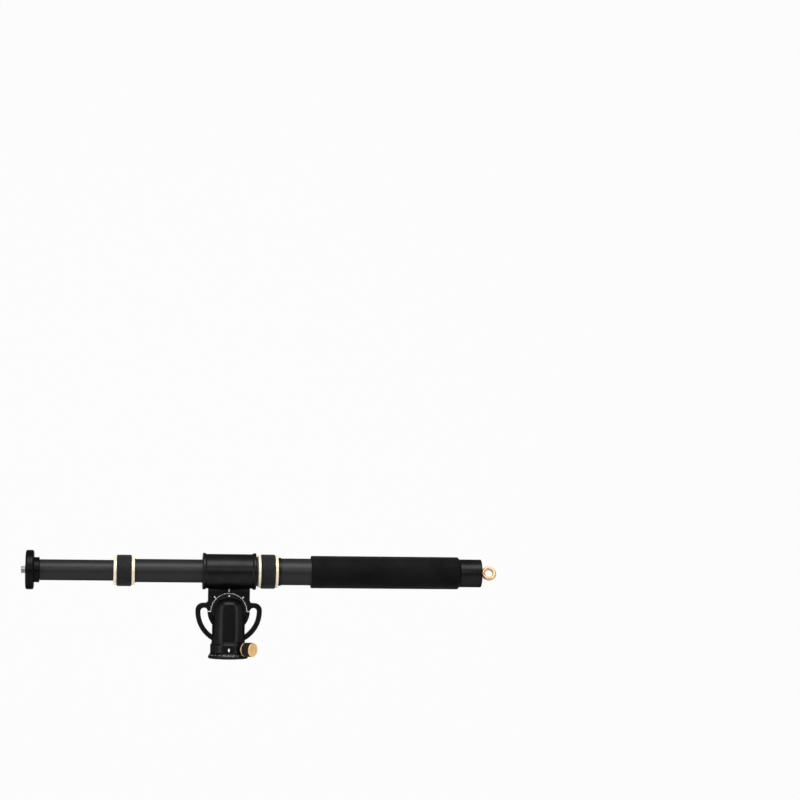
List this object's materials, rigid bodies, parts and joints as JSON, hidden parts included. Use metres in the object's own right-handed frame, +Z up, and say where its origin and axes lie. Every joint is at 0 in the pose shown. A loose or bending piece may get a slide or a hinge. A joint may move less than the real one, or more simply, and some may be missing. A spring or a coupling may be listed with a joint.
{
  "type": "tripod extension arm",
  "caption": "Telescopic carbon boom with twist locks, a camera flange and a foam grip, on a panning and tilting clamp head with a threaded base.",
  "frame": {"origin": "centre of the pan base's bottom face, on the pan axis, where the stand's threaded stud goes in", "axes": "+X along the boom towards the grip, +Y to the rear, towards the tilt clamp's handle, +Z up along the pan axis"},
  "size_m": [0.5767, 0.0752, 0.1285],
  "materials": {
    "black_anodised": "fine satin black anodising",
    "gold_anodised": "bright gold anodising",
    "carbon_fibre": "woven carbon under a satin lacquer",
    "steel": "machined",
    "brass": "machined",
    "rubber": "smooth matte rubber",
    "foam": "closed-cell foam",
    "black_plastic": "moulded, matte"
  },
  "bodies": {
    "base": {"pan_base": "black_anodised", "thread_insert": "steel", "pan_washer": "black_plastic"},
    "head": {"tower": "black_anodised", "pivot_bolt": "steel", "friction_washer_front": "black_plastic", "friction_washer_rear": "black_plastic", "retaining_screw": "steel"},
    "pan_brake": {"brake_pad": "brass"},
    "pan_knob": {"pan_lock_screw": "steel", "pan_lock_knob": "gold_anodised", "pan_lock_grip": "rubber"},
    "tilt_press": {"clamp_washer": "steel"},
    "tilt_clamp": {"clamp_bolt": "steel", "tilt_handle": "gold_anodised"},
    "boom": {"tilt_bracket": "black_anodised", "pivot_bush": "brass", "sleeve_bush_left": "black_plastic", "sleeve_bush_right": "black_plastic", "middle_tube": "carbon_fibre", "middle_tube_guide": "black_plastic", "front_lock_ferrule": "black_anodised", "front_lock_collet": "black_plastic"},
    "front_twist": {"front_lock_collar": "gold_anodised", "front_lock_band": "rubber"},
    "front_section": {"front_tube": "carbon_fibre", "front_tube_guide": "black_plastic", "camera_flange": "black_anodised", "camera_stud": "steel"},
    "rear_section": {"rear_tube": "carbon_fibre", "rear_lock_ferrule": "black_anodised", "rear_lock_collet": "black_plastic", "grip": "foam", "end_cap": "black_anodised"},
    "rear_twist": {"rear_lock_collar": "gold_anodised", "rear_lock_band": "rubber"},
    "eye": {"lanyard_eye": "gold_anodised", "eye_clip": "steel"}
  },
  "joints": [
    {"name": "pan", "type": "hinge", "parent": "base", "child": "head", "pos_m": [0, 0, 0], "axis": [0, 0, 1], "continuous": true},
    {"name": "tilt", "type": "hinge", "parent": "head", "child": "boom", "pos_m": [0, 0, 0.0565], "axis": [0, 1, 0], "range_deg": [-90, 90]},
    {"name": "pan_lock_travel", "type": "slide", "parent": "head", "child": "pan_brake", "axis": [0.7547, -0.6561, 0], "range_m": [0, 0.001]},
    {"name": "pan_lock_turn", "type": "hinge", "parent": "pan_brake", "child": "pan_knob", "pos_m": [0, 0, 0.0118], "axis": [0.7547, -0.6561, 0], "range_deg": [0, 360]},
    {"name": "tilt_clamp_travel", "type": "slide", "parent": "head", "child": "tilt_press", "axis": [0, 1, 0], "range_m": [0, 0.00125]},
    {"name": "tilt_clamp_turn", "type": "hinge", "parent": "tilt_press", "child": "tilt_clamp", "pos_m": [0, 0, 0.0267], "axis": [0, 1, 0], "range_deg": [0, 360]},
    {"name": "front_slide", "type": "slide", "parent": "boom", "child": "front_section", "axis": [-1, 0, 0], "range_m": [-0.085, 0.14]},
    {"name": "front_lock_twist", "type": "hinge", "parent": "boom", "child": "front_twist", "pos_m": [-0.1265, 0, 0.1048], "axis": [-1, 0, 0], "range_deg": [0, 180]},
    {"name": "rear_slide", "type": "slide", "parent": "boom", "child": "rear_section", "axis": [1, 0, 0], "range_m": [0, 0.13]},
    {"name": "rear_lock_twist", "type": "hinge", "parent": "rear_section", "child": "rear_twist", "pos_m": [0.0466, 0, 0.1048], "axis": [-1, 0, 0], "range_deg": [0, 180]},
    {"name": "eye_swivel", "type": "hinge", "parent": "rear_section", "child": "eye", "pos_m": [0.303, 0, 0.1048], "axis": [1, 0, 0], "continuous": true}
  ],
  "couplings": [
    {"joint": "pan_lock_turn", "follows": "pan_lock_travel", "rad_per_m": 6283.2},
    {"joint": "tilt_clamp_turn", "follows": "tilt_clamp_travel", "rad_per_m": 5026.5}
  ]
}
